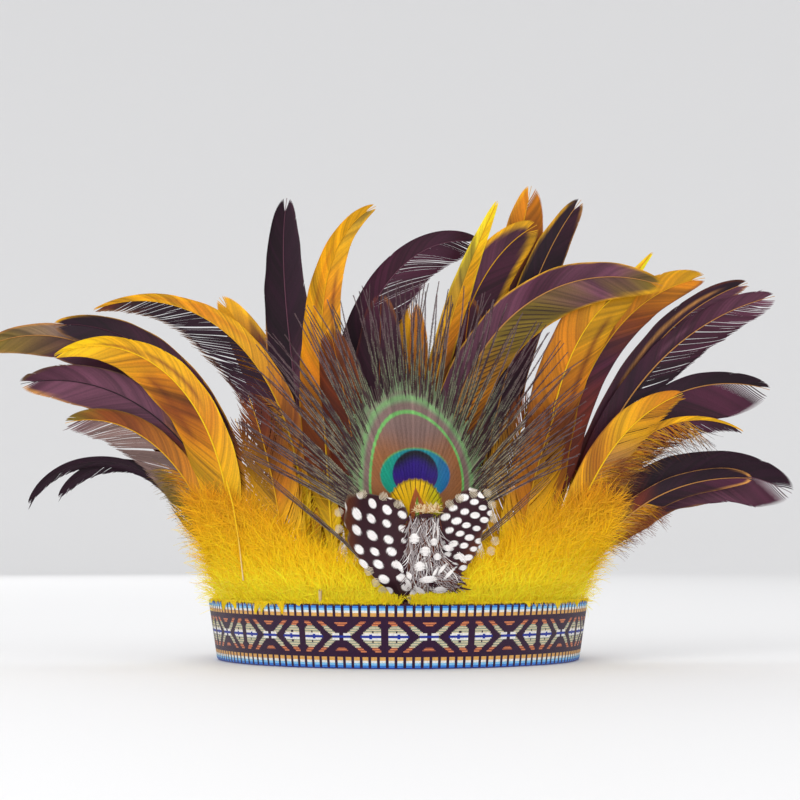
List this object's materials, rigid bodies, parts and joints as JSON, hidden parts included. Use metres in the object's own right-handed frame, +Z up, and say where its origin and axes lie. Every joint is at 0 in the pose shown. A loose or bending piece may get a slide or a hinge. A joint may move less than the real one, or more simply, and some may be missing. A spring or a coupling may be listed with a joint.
{
  "type": "feathered headdress",
  "caption": "Headdress of a flared woven ribbon band with a front fan of cock feathers, a peacock eye, spotted guinea fowl feathers and yellow down, worn round the head.",
  "frame": {"origin": "middle of the head opening, level with the band's lower rim", "axes": "+Z up towards the feather tips, -Y the front of the head, +X to the right of someone who looks at the front"},
  "size_m": [0.3673, 0.2146, 0.2102],
  "materials": {
    "woven_ribbon": "woven in aubergine, white, orange, gold and blue",
    "gold_feather": "satin vane, yellow at the root",
    "dark_feather": "satin vane, plum to black, yellow at the root",
    "two_tone_feather": "satin vane, dark with gold edges, yellow at the root",
    "peacock_herl": "iridescent eye in blue, green and bronze, loose brown and green herls",
    "guinea_vane": "matt plum brown with white dots",
    "yellow_down": "soft yellow down"
  },
  "bodies": {
    "root": {"woven_band": "woven_ribbon", "cock_feather_left_01": "dark_feather", "cock_feather_left_02": "dark_feather", "cock_feather_left_03": "two_tone_feather", "cock_feather_left_04": "gold_feather", "cock_feather_left_05": "dark_feather", "cock_feather_left_06": "two_tone_feather", "cock_feather_left_07": "two_tone_feather", "cock_feather_left_08": "gold_feather", "cock_feather_left_09": "gold_feather", "cock_feather_left_10": "gold_feather", "cock_feather_left_11": "dark_feather", "cock_feather_left_12": "dark_feather", "cock_feather_left_13": "two_tone_feather", "cock_feather_left_14": "gold_feather", "cock_feather_left_15": "dark_feather", "cock_feather_left_16": "two_tone_feather", "cock_feather_middle_01": "dark_feather", "cock_feather_middle_02": "gold_feather", "cock_feather_middle_03": "two_tone_feather", "cock_feather_right_01": "gold_feather", "cock_feather_right_02": "two_tone_feather", "cock_feather_right_03": "two_tone_feather", "cock_feather_right_04": "dark_feather", "cock_feather_right_05": "two_tone_feather", "cock_feather_right_06": "gold_feather", "cock_feather_right_07": "gold_feather", "cock_feather_right_08": "gold_feather", "cock_feather_right_09": "gold_feather", "cock_feather_right_10": "gold_feather", "cock_feather_right_11": "dark_feather", "cock_feather_right_12": "two_tone_feather", "cock_feather_right_13": "dark_feather", "cock_feather_right_14": "dark_feather", "cock_feather_right_15": "gold_feather", "cock_feather_right_16": "dark_feather", "cock_feather_right_17": "two_tone_feather", "peacock_feather": "peacock_herl", "guinea_feather_left": "guinea_vane", "guinea_feather_right": "guinea_vane", "down_tuft_left_outer": "yellow_down", "down_tuft_left_inner": "yellow_down", "down_tuft_right_inner": "yellow_down", "down_tuft_right_outer": "yellow_down"}
  },
  "joints": []
}
